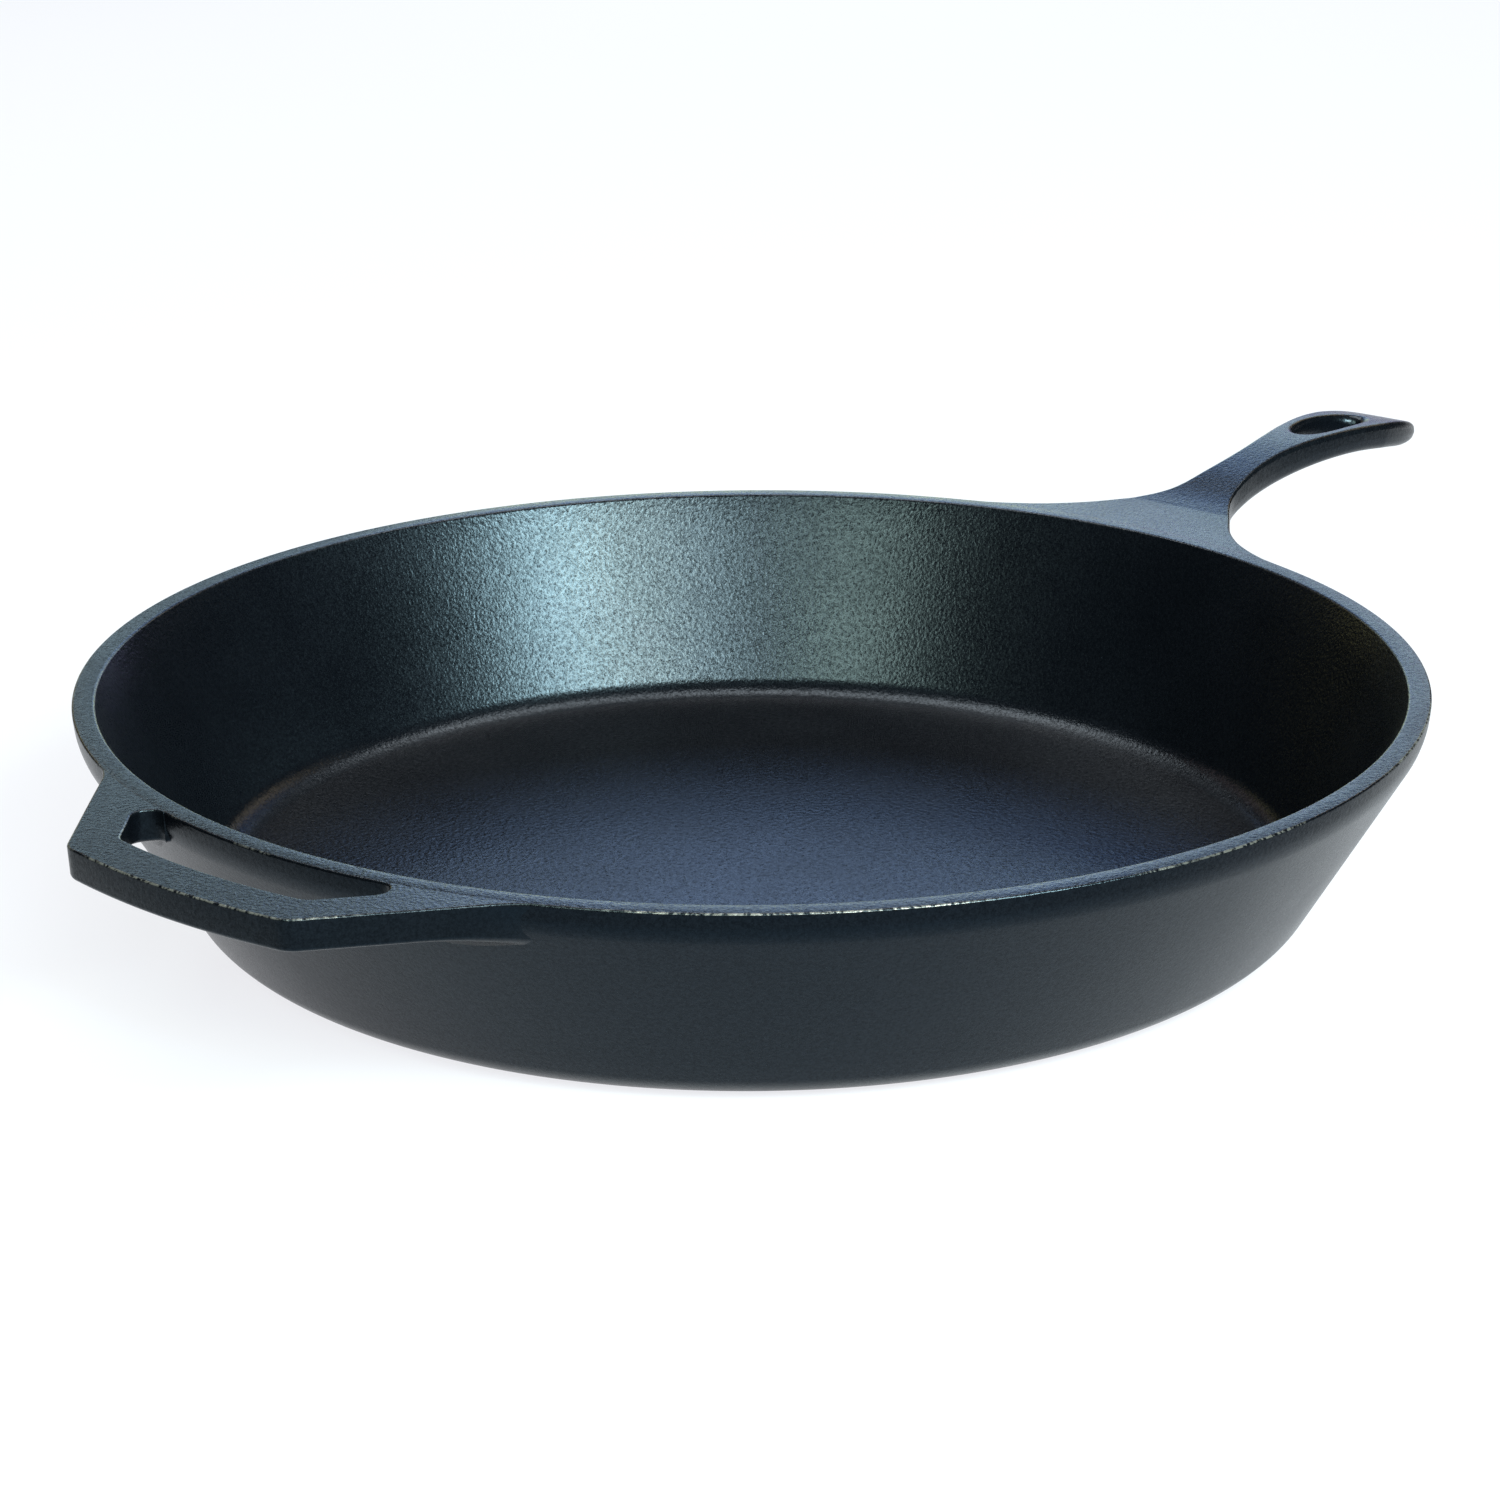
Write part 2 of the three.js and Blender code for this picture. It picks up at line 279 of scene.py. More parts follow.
@dataclass(frozen=True)
class SeasonedIron:
    """Black, oil-seasoned iron with the pebbled skin that a sand mould leaves.

    Attributes:
        slot: The record's slot that this finish stands for.
        tint: Linear base colour between the pebbles' highs and lows.
        roughness: Mean roughness of the seasoning.
        specular: How strongly it mirrors, as a share of plain varnish.
        specular_tint: The colour that its gloss takes on where it faces up.
        painted_downward_reflection_tint: The bluer colour that its gloss takes on where it faces down, a
            painted reflection colour that changes with facing.
        pebble: Size of the sand-cast pebbles.
        relief: Height of the pebbles.
        pitting: How much duller the pits are than the pebbles, from 0 to 1.
        fineness: How many times smaller the fine tooth is than the pebbles.
        fine_relief: Height of the fine tooth, as a share of the pebbles'.
        fine_share: The fine tooth's share in the pitting, the pebbles having the rest.
        clouds: Clouds of seasoning per metre.
        cloud_detail: Octaves of finer clouds.
        contrast: How far the base colour swings either way, as a share of itself.
        paler_by_grain: How much the pebbles' lows and highs scale the paler colour's share.
        paler_by_cloud: Share of the paler colour in thin and thick seasoning.
        cloud_roughness: How far the clouds swing the roughness either way.
        fine_roughness: How far the fine tooth swings the roughness either way.
    """

    slot: Slot
    tint: Colour
    roughness: float
    specular: float = 0.24
    specular_tint: Colour = (0.80, 0.93, 1.0)
    painted_downward_reflection_tint: Colour = (0.38, 0.70, 1.0)
    pebble: float = 1.5 * MM
    relief: float = 0.17 * MM
    pitting: float = 0.9
    fineness: float = 2.6
    fine_relief: float = 0.24
    fine_share: float = 0.6
    clouds: float = 22.0
    cloud_detail: float = 3.0
    contrast: float = 0.4
    paler_by_grain: Span = (0.6, 1.4)
    paler_by_cloud: Span = (0.35, 0.65)
    cloud_roughness: float = 0.035
    fine_roughness: float = 0.05

    def material(self) -> bpy.types.Material:
        """Builds the node material, once for each slot.

        Returns:
            The material, named for its slot.
        """
        name = f"seasoned_{self.slot.value}"
        if name in bpy.data.materials:
            return bpy.data.materials[name]
        material = bpy.data.materials.new(name)
        material.use_nodes = True
        nodes = Nodes(material.node_tree)
        skin = self._patterns(nodes)
        # Gloss tinted bluer where the skin faces down: a painted reflection colour.
        tint = nodes.mix(skin.skyward, self.painted_downward_reflection_tint, self.specular_tint, Kind.COLOURS)
        surface = {"IOR": VARNISH_IOR, "Metallic": skin.worn, "Base Color": self._colour(nodes, skin),
                   "Roughness": self._gloss(nodes, skin), "Specular IOR Level": self._sheen_and_painted_shade(nodes, skin),
                   "Specular Tint": tint, "Normal": self._pebbles(nodes, skin)}
        for socket, value in surface.items():
            nodes.feed(nodes.surface[socket], value)
        return material

    def _patterns(self, nodes: Nodes) -> Skin:
        """Lays out the finish's patterns, with bright iron in broken streaks along crisp edges.

        Args:
            nodes: The material's nodes.

        Returns:
            The patterns.
        """
        grain = nodes.noise(1 / self.pebble, 1.0)
        cloud = nodes.noise(self.clouds, self.cloud_detail)
        patches = nodes.maths(Sum.MULTIPLY, nodes.mapped(grain, WORN_GRAIN, WHOLE),
                              nodes.mapped(cloud, WORN_CLOUD, WHOLE))
        return Skin(grain, nodes.noise(self.fineness / self.pebble, 1.0), cloud,
                    nodes.maths(Sum.MULTIPLY, nodes.attribute(WEAR), patches), nodes.attribute(SKYWARD))

    def _colour(self, nodes: Nodes, skin: Skin) -> Socket:
        """Mixes a darker and a paler iron by the grain and by soft clouds of seasoning.

        Args:
            nodes: The material's nodes.
            skin: The finish's patterns.

        Returns:
            The base colour.
        """
        paler = nodes.maths(Sum.MULTIPLY, nodes.mapped(skin.grain, WIDE, self.paler_by_grain),
                            nodes.mapped(skin.cloud, WIDE, self.paler_by_cloud))
        dark, pale = (tuple(share * c for c in self.tint)
                      for share in (1 - self.contrast, 1 + self.contrast))
        return nodes.mix(skin.worn, nodes.mix(paler, dark, pale, Kind.COLOURS), BARE_IRON, Kind.COLOURS)

    def _gloss(self, nodes: Nodes, skin: Skin) -> Socket:
        """Varies the roughness a little from pebble to pebble and from place to place.

        Args:
            nodes: The material's nodes.
            skin: The finish's patterns.

        Returns:
            The roughness.
        """
        swing = (self.roughness - self.cloud_roughness, self.roughness + self.cloud_roughness)
        varied = nodes.maths(Sum.ADD, nodes.mapped(skin.cloud, WIDE, swing),
                             nodes.mapped(skin.fine, WIDE, (-self.fine_roughness, self.fine_roughness)))
        return nodes.mix(skin.worn, varied, BARE_ROUGHNESS)

    def _sheen_and_painted_shade(self, nodes: Nodes, skin: Skin) -> Socket:
        """Dulls the pits between the pebbles, and paints shade on the sides and underside by dimming
        their gloss against the top.

        Args:
            nodes: The material's nodes.
            skin: The finish's patterns.

        Returns:
            How strongly each place mirrors.
        """
        fine, grain = (
            nodes.mapped(noise, NARROW, ((1 - self.pitting) * share * self.specular,
                                         (1 + self.pitting) * share * self.specular))
            for noise, share in ((skin.fine, self.fine_share), (skin.grain, 1 - self.fine_share)))
        grained = nodes.mapped(skin.skyward, WHOLE, (SHELTERED_GRAIN, 1.0))
        sheen = nodes.mix(grained, self.specular, nodes.maths(Sum.ADD, fine, grain))
        # Painted shade: gloss dimmed on sides and undersides by which way each face looks.
        return nodes.maths(Sum.MULTIPLY, sheen, nodes.attribute(PAINTED_SIDE_SHADE))

    def _pebbles(self, nodes: Nodes, skin: Skin) -> Socket:
        """Raises the pebbles, with a finer tooth over them, most of all where the skin faces up.

        Args:
            nodes: The material's nodes.
            skin: The finish's patterns.

        Returns:
            The bumped normal.
        """
        strength = nodes.mapped(skin.skyward, WHOLE, (SHELTERED_GRAIN, 1.0))
        coarse = nodes.bump(skin.grain, self.relief, strength)
        return nodes.bump(skin.fine, self.fine_relief * self.relief, strength, coarse)


# ---------------------------------------------------------------- curves and mesh work


def smooth_curve(points: list[tuple[float, float]], step: float) -> list[Vector]:
    """Runs a smooth curve through points.

    Args:
        points: The points, in the plane.
        step: Rough distance between the curve's points.

    Returns:
        Points along a Catmull-Rom curve, both ends included.
    """
    knots = [Vector(p) for p in points]
    knots = [2 * knots[0] - knots[1], *knots, 2 * knots[-1] - knots[-2]]
    curve = [knots[1]]
    for a, b, c, d in zip(knots, knots[1:], knots[2:], knots[3:]):
        count = max(2, round((c - b).length / step))
        for i in range(1, count + 1):
            t = i / count
            curve.append(0.5 * (2 * b + (c - a) * t + (2 * a - 5 * b + 4 * c - d) * t * t
                                + (3 * b - a - 3 * c + d) * t ** 3))
    return curve


def arc(centre: Vector, radii: Span, start: float, end: float, step: float) -> list[Vector]:
    """Points on an arc of a circle or ellipse.

    Args:
        centre: Its centre in the plane.
        radii: Its half axes along X and Y.
        start: First angle in radians.
        end: Last angle in radians.
        step: Rough distance between points.

    Returns:
        The points, both ends included.
    """
    count = max(3, round(abs(end - start) * sum(radii) / 2 / step))
    angles = [start + (end - start) * i / count for i in range(count + 1)]
    return [centre + Vector((radii[0] * math.cos(a), radii[1] * math.sin(a))) for a in angles]


def rounded_corner(before: Vector, corner: Vector, after: Vector, radius: float,
                   step: float) -> list[Vector]:
    """Rounds a corner of an outline.

    Args:
        before: A point on the side that leads to the corner.
        corner: The sharp corner.
        after: A point on the side that leads away from it.
        radius: Radius of the rounding.
        step: Rough distance between points.

    Returns:
        Points on the rounding, from one tangent point to the other.
    """
    back, ahead = (before - corner).normalized(), (after - corner).normalized()
    half = back.angle(ahead) / 2
    centre = corner + (back + ahead).normalized() * radius / math.sin(half)
    first = corner + back * radius / math.tan(half) - centre
    last = corner + ahead * radius / math.tan(half) - centre
    turn = math.atan2(first.cross(last), first.dot(last))
    count = max(3, round(abs(turn) * radius / step))
    start = math.atan2(first.y, first.x)
    angles = [start + turn * i / count for i in range(count + 1)]
    return [centre + radius * Vector((math.cos(a), math.sin(a))) for a in angles]


def polar(radius: float, degrees: float) -> Vector:
    """A point in the plane at a radius and an angle from +X."""
    angle = math.radians(degrees)
    return Vector((radius * math.cos(angle), radius * math.sin(angle)))


def clamped(value: float, low: float = 0.0, high: float = 1.0) -> float:
    """A value kept between two others."""
    return min(high, max(low, value))


def drop_flaps(bm: bmesh.types.BMesh) -> None:
    """Deletes stray faces that hang by one edge from a mesh that is closed without them.

    Args:
        bm: The bmesh, its doubles merged.
    """
    flaps = [face for face in bm.faces if any(edge.is_boundary for edge in face.edges)
             and any(len(edge.link_faces) > 2 for edge in face.edges)]
    bmesh.ops.delete(bm, geom=flaps, context="FACES")


def finish_mesh(bm: bmesh.types.BMesh, name: str) -> bpy.types.Object:
    """Closes off a bmesh as a smooth-shaded object with sharp corners kept.

    Args:
        bm: The finished bmesh, which is freed.
        name: The new object's name.

    Returns:
        The object, linked to the scene at the origin.
    """
    bmesh.ops.remove_doubles(bm, verts=bm.verts, dist=WELD)
    drop_flaps(bm)
    bmesh.ops.recalc_face_normals(bm, faces=bm.faces)
    for face in bm.faces:
        face.smooth = True
    for edge in bm.edges:
        edge.smooth = edge.calc_face_angle(0.0) < SHARP_ANGLE
    mark_wear(bm)
    mark_lift(bm)
    mesh = bpy.data.meshes.new(name)
    bm.to_mesh(mesh)
    bm.free()
    piece = bpy.data.objects.new(name, mesh)
    bpy.context.scene.collection.objects.link(piece)
    return piece


def mark_wear(bm: bmesh.types.BMesh) -> None:
    """Marks the crisp outward edges, where seasoning rubs off first, in the wear attribute.

    Args:
        bm: A closed bmesh with its faces outward.
    """
    layer = bm.verts.layers.float.get(WEAR) or bm.verts.layers.float.new(WEAR)
    crisp, soft = (1 / r for r in WORN_RADII)
    for edge in bm.edges:
        lift = sum(face.normal.z for face in edge.link_faces) / 2
        sheltered = any(vert[layer] == SHELTERED for vert in edge.verts)
        if not edge.is_convex or sheltered or lift < WORN_LIFT or edge.calc_length() < WELD:
            continue
        across = sum(face.calc_area() for face in edge.link_faces) / 2 / edge.calc_length()
        bend = edge.calc_face_angle(0.0) / max(across, WELD)
        wear = clamped((bend - soft) / (crisp - soft))
        for vert in edge.verts:
            vert[layer] = max(vert[layer], wear)
    for vert in bm.verts:
        vert[layer] = max(vert[layer], 0.0)


def mark_lift(bm: bmesh.types.BMesh) -> None:
    """Marks how far up each face of the skin looks, and the painted shade that dims the gloss of sides
    and undersides.

    Args:
        bm: A closed bmesh with its faces outward.
    """
    for name in (SKYWARD, PAINTED_SIDE_SHADE):
        bm.faces.layers.float.new(name)
    skyward, painted_side_shade = bm.faces.layers.float[SKYWARD], bm.faces.layers.float[PAINTED_SIDE_SHADE]
    bm.normal_update()
    for face in bm.faces:
        lift = clamped(face.normal.z, -1.0)
        face[skyward] = clamped(0.5 + SKYWARD_GAIN * lift)
        for (low, first), (high, last) in zip(PAINTED_SIDE_SHADE_BY_LIFT, PAINTED_SIDE_SHADE_BY_LIFT[1:]):
            if low <= lift <= high:
                face[painted_side_shade] = first + (last - first) * (lift - low) / (high - low)


def dress(piece: bpy.types.Object, finish: SeasonedIron, *nodes: str) -> bpy.types.Object:
    """Gives a piece its finish and its place in the frame.

    Args:
        piece: The finished piece.
        finish: What it is made of.
        *nodes: The frame's nodes that it stands for.

    Returns:
        The same piece.
    """
    piece.data.materials.append(finish.material())
    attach(piece, BODY)
    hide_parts(*nodes)
    log.info("%s: %d faces, for %s", piece.name, len(piece.data.polygons), ", ".join(nodes))
    return piece


# ---------------------------------------------------------------- the pan


@dataclass(frozen=True)
class Corner:
    """A corner of a turned section.

    Attributes:
        radius: Its distance from the pan's axis.
        height: Its height above the table.
        rounding: Radius of its rounding, or 0 for none.
        steps: Facets in the rounding.
    """

    radius: float
    height: float
    rounding: float = 0.0
    steps: int = 8


@dataclass
class Pan:
    """The turned part of the casting: floor, heel, side wall and rim.

    Attributes:
        rim_r: Radius of the rim's outer face at its top.
        height: Height of the rim's top.
        band_z: Height of the foot of the upright band.
        wall_top_r: Outer radius of the wall under the band.
        wall_foot_r: Outer radius of the wall at its seam with the heel.
        wall_foot_z: Height of that seam.
        floor_r: Radius of the cooking floor.
        floor_top: Height of the cooking floor's face, which is also its thickness.
        rim_width: Width of the rim's top.
        inner_slope: How far the inner wall leans out per unit of height.
        heel_rounding: Radius outside, between the foot and the wall.
        cove_rounding: Radius inside, between the cooking floor and the wall.
        band_rounding: Radius where the wall meets the band.
        rim_outer_rounding: Radius of the rim's outer edge.
        rim_inner_rounding: Radius of the rim's inner edge.
        heel_steps: Facets in the heel's rounding.
        cove_steps: Facets in the cove's rounding.
        rim_steps: Facets in the rim's roundings.
        rim_seam_z: Height of the seam between the wall and the rim.
        steps_round: Facets round the pan.
    """

    rim_r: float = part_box("rim_band")[1].x
    height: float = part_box("rim_band")[1].z
    band_z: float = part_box("rim_band")[0].z
    wall_top_r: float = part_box("side_wall")[1].x
    wall_foot_r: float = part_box("heel_ring")[1].x
    wall_foot_z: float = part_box("side_wall")[0].z
    floor_r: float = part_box("pan_floor")[1].x
    floor_top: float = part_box("pan_floor")[1].z
    rim_width: float = 6.4 * MM
    inner_slope: float = 0.5
    heel_rounding: float = 14.5 * MM
    cove_rounding: float = 9 * MM
    band_rounding: float = 14 * MM
    rim_outer_rounding: float = 0.6 * MM
    rim_inner_rounding: float = 1.1 * MM
    heel_steps: int = 16
    cove_steps: int = 14
    rim_steps: int = 5
    rim_seam_z: float = 53 * MM
    steps_round: int = 288

    def outer(self, z: float) -> float:
        """Radius of the outer wall's slope at a height."""
        slope = (self.wall_top_r - self.wall_foot_r) / (self.band_z - self.wall_foot_z)
        return self.wall_foot_r + slope * (z - self.wall_foot_z)

    def inner(self, z: float) -> float:
        """Radius of the inner wall's slope at a height."""
        return self.rim_r - self.rim_width - self.inner_slope * (self.height - z)

    def mid_iron(self, z: float) -> float:
        """Radius halfway through the wall's iron at a height."""
        return (min(self.outer(z), self.rim_r) + self.inner(z)) / 2

    def turned(self, name: str, corners: list[Corner]) -> bpy.types.Object:
        """Turns a closed section about the pan's axis and rounds its corners.

        Args:
            name: The piece's name.
            corners: The section's corners in order.

        Returns:
            The closed piece.
        """
        bm = bmesh.new()
        ring = [bm.verts.new((c.radius, 0, c.height)) for c in corners]
        for a, b in zip(ring, ring[1:] + ring[:1]):
            if a.co.x > WELD or b.co.x > WELD:
                bm.edges.new((a, b))
        bmesh.ops.spin(bm, geom=bm.verts[:] + bm.edges[:], cent=(0, 0, 0), axis=(0, 0, 1),
                       angle=math.tau, steps=self.steps_round, use_merge=True)
        bmesh.ops.remove_doubles(bm, verts=bm.verts, dist=WELD)
        bmesh.ops.recalc_face_normals(bm, faces=bm.faces)
        for i, corner in enumerate(corners):
            if corner.rounding:
                self._round(bm, corners, i)
        return finish_mesh(bm, name)

    def _round(self, bm: bmesh.types.BMesh, corners: list[Corner], index: int) -> None:
        """Bevels one corner's ring of edges to its rounding.

        Args:
            bm: The turned bmesh.
            corners: The section's corners in order.
            index: Which of them to round.
        """
        corner = corners[index]
        here = Vector((corner.radius, corner.height))
        sides = [Vector((c.radius, c.height)) - here
                 for c in (corners[index - 1], corners[(index + 1) % len(corners)])]
        reach = corner.rounding / math.tan(sides[0].angle(sides[1]) / 2)
        edges = [e for e in bm.edges if all(self._is_on(here, v) for v in e.verts)]
        bmesh.ops.bevel(bm, geom=edges, offset=reach, offset_type="OFFSET", segments=corner.steps,
                        profile=0.5, affect="EDGES", material=-1, clamp_overlap=False)

    def _is_on(self, corner: Vector, vert: bmesh.types.BMVert) -> bool:
        """Whether a vertex lies on the ring that a section's corner makes."""
        return (Vector((vert.co.xy.length, vert.co.z)) - corner).length < ON_RING

    def floor(self) -> bpy.types.Object:
        """Turns the cooking floor, a plain disc whose edge meets the heel inside the iron.

        Returns:
            The closed piece.
        """
        return self.turned("cooking_floor", [
            Corner(0, 0), Corner(self.floor_r, 0), Corner(self.floor_r, self.floor_top),
            Corner(0, self.floor_top),
        ])

    def heel(self) -> bpy.types.Object:
        """Turns the bend from floor to wall, rounded outside at the heel and inside at the cove.

        Returns:
            The closed piece.
        """
        seam = self.wall_foot_z
        return self.turned("heel", [
            Corner(self.floor_r, 0), Corner(self.outer(0), 0, self.heel_rounding, self.heel_steps),
            Corner(self.outer(seam), seam), Corner(self.inner(seam), seam),
            Corner(self.inner(self.floor_top), self.floor_top, self.cove_rounding, self.cove_steps),
            Corner(self.floor_r, self.floor_top),
        ])

    def wall(self) -> bpy.types.Object:
        """Turns the flared side wall.

        Returns:
            The closed piece.
        """
        low, high = self.wall_foot_z, self.rim_seam_z
        return self.turned("side_wall_skin", [
            Corner(self.outer(low), low), Corner(self.outer(high), high),
            Corner(self.inner(high), high), Corner(self.inner(low), low),
        ])

    def rim(self) -> bpy.types.Object:
        """Turns the rim with its upright band.

        Returns:
            The closed piece.
        """
        seam, inner_r = self.rim_seam_z, self.rim_r - self.rim_width
        return self.turned("rim", [
            Corner(self.outer(seam), seam),
            Corner(self.outer(self.band_z), self.band_z, self.band_rounding),
            Corner(self.rim_r, self.height, self.rim_outer_rounding, self.rim_steps),
            Corner(inner_r, self.height, self.rim_inner_rounding, self.rim_steps),
            Corner(self.inner(seam), seam),
        ])

    def build(self) -> list[bpy.types.Object]:
        """Builds and dresses the pan's four pieces.

        Returns:
            The four pieces.
        """
        return [
            dress(self.floor(), COOKING_IRON, "pan_floor"),
            dress(self.heel(), PAN_IRON, "heel_ring"),
            dress(self.wall(), PAN_IRON, "side_wall"),
            dress(self.rim(), PAN_IRON, "rim_band"),
        ]


# ---------------------------------------------------------------- plates: the handles' way of building


@dataclass(frozen=True)
class EdgeForm:
    """How a plate's edge is shaped, from its top face round to its underside.

    Attributes:
        top_rounding: Radius between the top face and the side.
        bottom_rounding: Radius between the side and the underside.
        parting: Depth of the line where the mould's halves met, where the side stands out furthest.
        upper_draft: How far the side leans in above that line, per unit of height.
        lower_draft: How far it leans in below that line.
        top_steps: Facets in the upper rounding.
        bottom_steps: Facets in the lower rounding.
        hold: Width of the flat strips beside the roundings.
    """

    top_rounding: float
    bottom_rounding: float
    parting: float = 0.0
    upper_draft: float = 0.0
    lower_draft: float = 0.0
    top_steps: int = 5
    bottom_steps: int = 6
    hold: float = 0.3 * MM

    def levels(self, thickness: float, softness: float) -> list[tuple[float, float]]:
        """Steps round the edge.

        Args:
            thickness: The plate's thickness.
            softness: How much larger the upper rounding is here than its usual radius.

        Returns:
            Pairs of inset from the outline and depth below the top face.
        """
        top, bottom = self.top_rounding * softness, self.bottom_rounding
        quarter = math.pi / 2
        steps = [(top + self.hold, 0.0)]
        for i in range(self.top_steps + 1):
            a = quarter * i / self.top_steps
            steps.append((top * (1 - math.sin(a)), top * (1 - math.cos(a))))
        if self.parting:
            steps += [(0.0, self.parting - self.hold), (0.0, self.parting + self.hold)]
        for i in range(self.bottom_steps + 1):
            a = quarter * i / self.bottom_steps
            depth = thickness - bottom * (1 - math.sin(a))
            steps.append((bottom * (1 - math.cos(a)), depth))
        steps.append((bottom + self.hold, thickness))
        return [(inset + self._lean(depth), depth) for inset, depth in steps]

    def _lean(self, depth: float) -> float:
        """How far the side has leaned in at a depth."""
        below = depth - self.parting
        return self.lower_draft * below if below > 0 else -self.upper_draft * below


class Plate:
    """A plate of even thickness with shaped edges, lying under z = 0, on its way to become a handle."""

    def __init__(self, thickness: float) -> None:
        """Starts an empty plate.

        Args:
            thickness: Its thickness.
        """
        self.bm = bmesh.new()
        self.wear = self.bm.verts.layers.float.new(WEAR)
        self.thickness = thickness
        self.tops: list[bmesh.types.BMEdge] = []
        self.bottoms: list[bmesh.types.BMEdge] = []

    def edge(self, outline: list[Vector], form: EdgeForm, inward: float,
             softness: Callable[[Vector], float] = lambda point: 1.0) -> None:
        """Adds a closed edge, level by level.

        Args:
            outline: The edge's outline in the plane, anticlockwise, its last point not repeated.
            form: The edge's shape.
            inward: 1 where the iron lies inside the outline and -1 where it lies round it.
            softness: Gives how much larger than usual the upper rounding is at a point.
        """
        around = zip(outline[-1:] + outline[:-1], outline[1:] + outline[:1])
        normals = [Vector((a.y - b.y, b.x - a.x)).normalized() * inward for a, b in around]
        loop: list[bmesh.types.BMEdge] = []
        profiles = [form.levels(self.thickness, softness(point)) for point in outline]
        for number, level in enumerate(zip(*profiles)):
            if number == 0:
                verts = [self.bm.verts.new((0, 0, 0)) for _ in outline]
                loop = [self.bm.edges.new(pair) for pair in zip(verts, verts[1:] + verts[:1])]
                self.tops += loop
            else:
                grown = bmesh.ops.extrude_edge_only(self.bm, edges=loop)["geom"]
                fresh = {e for e in grown if isinstance(e, bmesh.types.BMEdge)}
                verts, loop = self._follow(verts, fresh)
            for vert, point, normal, (inset, depth) in zip(verts, outline, normals, level):
                vert.co = (*(point + normal * inset), -depth)
                vert[self.wear] = 0.0 if inward > 0 else SHELTERED
        self.bottoms += loop

    def _follow(self, verts: list[bmesh.types.BMVert], fresh: set[bmesh.types.BMEdge]
                ) -> tuple[list[bmesh.types.BMVert], list[bmesh.types.BMEdge]]:
        """Finds the new loop that an old one was extruded to.

        Args:
            verts: The old loop's vertices in order.
            fresh: The new loop's edges in any order.

        Returns:
            The new loop's vertices and edges, in the old loop's order.
        """
        new_verts = {v for e in fresh for v in e.verts}
        after = [next(e.other_vert(v) for e in v.link_edges if e.other_vert(v) in new_verts)
                 for v in verts]
        between = [self.bm.edges.get(pair) for pair in zip(after, after[1:] + after[:1])]
        return after, between

    def close(self, spacing: float) -> None:
        """Fills the top and the underside, then cuts both into a grid fine enough to bend.

        Args:
            spacing: Width of the grid's squares.
        """
        for loop, up in ((self.tops, 1), (self.bottoms, -1)):
            filled = bmesh.ops.triangle_fill(self.bm, use_beauty=True, use_dissolve=False,
                                             edges=loop, normal=(0, 0, up))["geom"]
            faces = {f for f in filled if isinstance(f, bmesh.types.BMFace)}
            for axis in (0, 1):
                faces = self._gridded(faces, axis, spacing)

    def _gridded(self, faces: set[bmesh.types.BMFace], axis: int,
                 spacing: float) -> set[bmesh.types.BMFace]:
        """Cuts flat faces along evenly spaced lines across one axis.

        Args:
            faces: The faces, all at one height.
            axis: 0 for lines across X and 1 for lines across Y.
            spacing: Distance between the lines.

        Returns:
            The faces that they are cut into.
        """
        level = next(iter(faces)).verts[0].co.z
        coords = [v.co[axis] for f in faces for v in f.verts]
        first, last = math.ceil(min(coords) / spacing), math.floor(max(coords) / spacing)
        normal = Vector((1, 0, 0)) if axis == 0 else Vector((0, 1, 0))
        for i in range(first, last + 1):
            near = [f for f in faces if self._straddles(f, axis, i * spacing)]
            if not near:
                continue
            geom = [*near, *{e for f in near for e in f.edges}, *{v for f in near for v in f.verts}]
            cut = bmesh.ops.bisect_plane(self.bm, geom=geom, dist=ON_CUT, plane_no=normal,
                                         plane_co=normal * i * spacing)["geom"]
            faces -= set(near)
            faces |= {f for f in cut if isinstance(f, bmesh.types.BMFace)}
            faces = {f for f in faces
                     if f.is_valid and all(abs(v.co.z - level) < WELD for v in f.verts)}
        return faces

    def _straddles(self, face: bmesh.types.BMFace, axis: int, value: float) -> bool:
        """Whether a face lies on both sides of a line."""
        coords = [v.co[axis] for v in face.verts]
        return min(coords) < value < max(coords)


# ---------------------------------------------------------------- how a handle meets the pan


